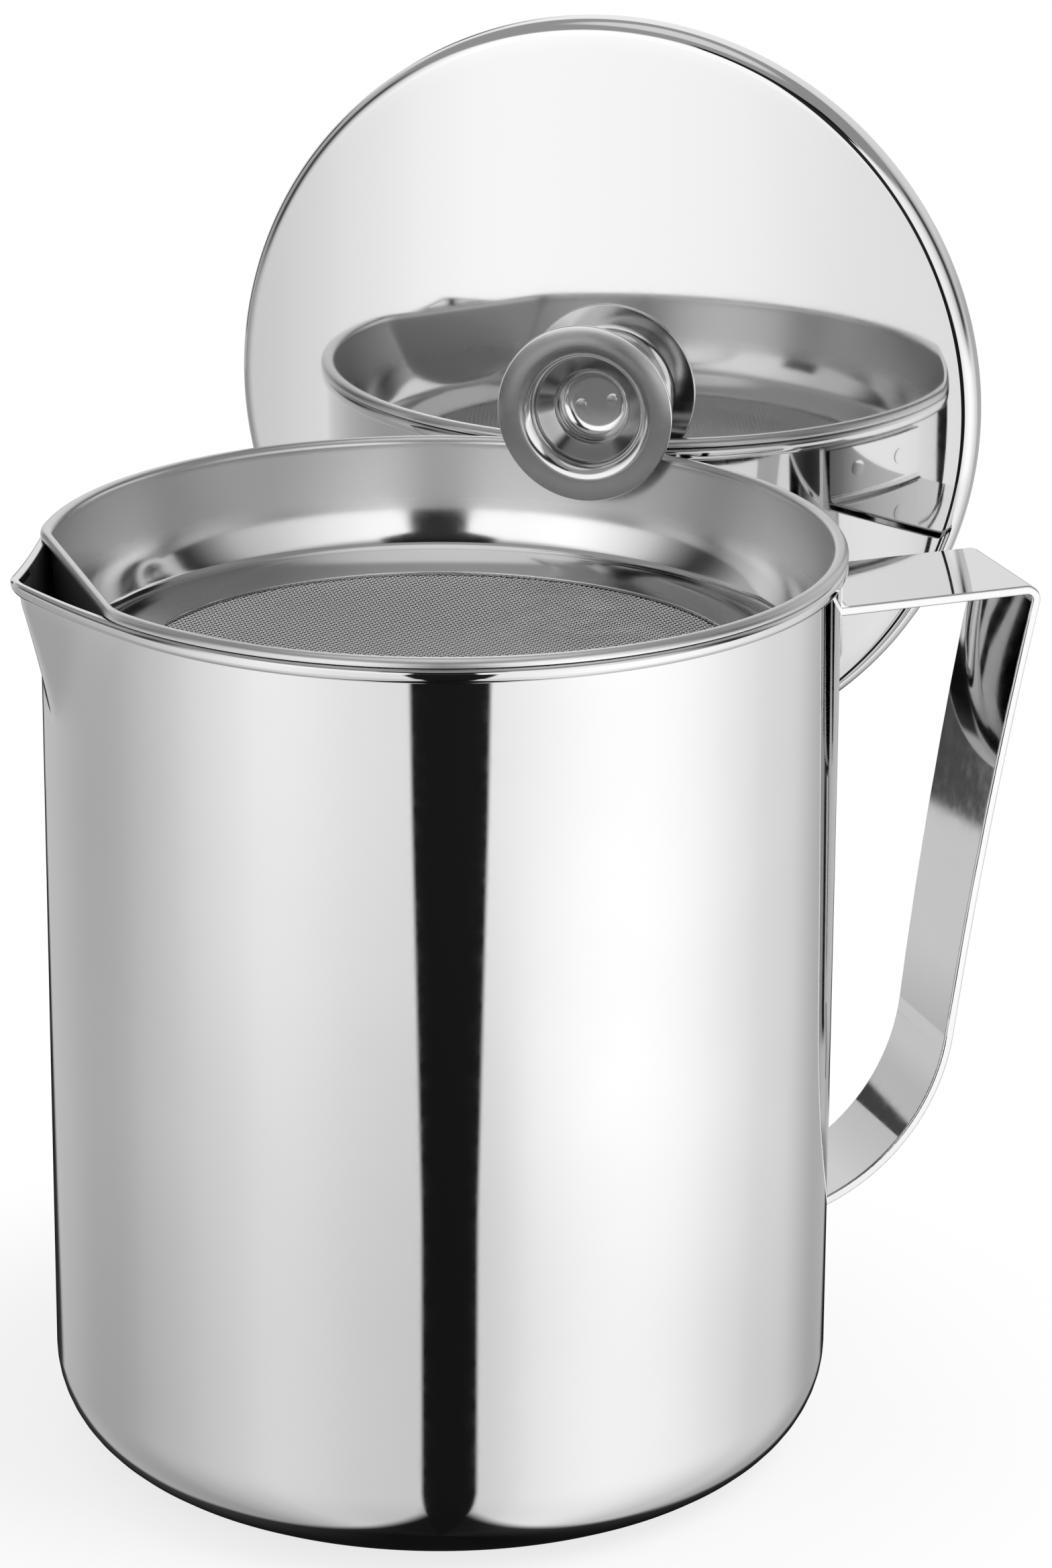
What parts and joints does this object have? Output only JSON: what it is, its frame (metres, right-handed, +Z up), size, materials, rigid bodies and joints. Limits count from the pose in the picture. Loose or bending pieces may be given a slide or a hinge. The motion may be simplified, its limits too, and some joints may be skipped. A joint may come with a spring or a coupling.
{
  "type": "bacon grease container",
  "caption": "Stainless steel fat storage jug with pouring spout, strap handle, lift-out mesh strainer bowl and a lid that hangs on the rim by its knob.",
  "frame": {"origin": "centre of the base, on the surface that the jug stands on", "axes": "+Z up along the jug's axis, +X towards the handle, -X towards the pouring spout"},
  "size_m": [0.166, 0.1518, 0.2165],
  "materials": {
    "polished_steel": "mirror-polished stainless steel",
    "satin_steel": "satin stainless steel",
    "wire_steel": "bright drawn wire, plain weave"
  },
  "bodies": {
    "jug": {"jug_body": "polished_steel", "jug_handle": "polished_steel", "handle_spot_welds": "satin_steel"},
    "strainer": {"strainer_bowl": "satin_steel", "strainer_mesh": "wire_steel", "mesh_clamp_ring": "satin_steel"},
    "lid": {"lid_cover": "polished_steel", "lid_knob": "satin_steel", "knob_spot_welds": "satin_steel"}
  },
  "joints": [
    {"name": "strainer_lift", "type": "slide", "parent": "jug", "child": "strainer", "axis": [0, 0, 1], "range_m": [0, 0.06]},
    {"name": "lid_lift", "type": "slide", "parent": "strainer", "child": "lid", "axis": [0, 0, 1], "range_m": [0, 0.08]}
  ]
}
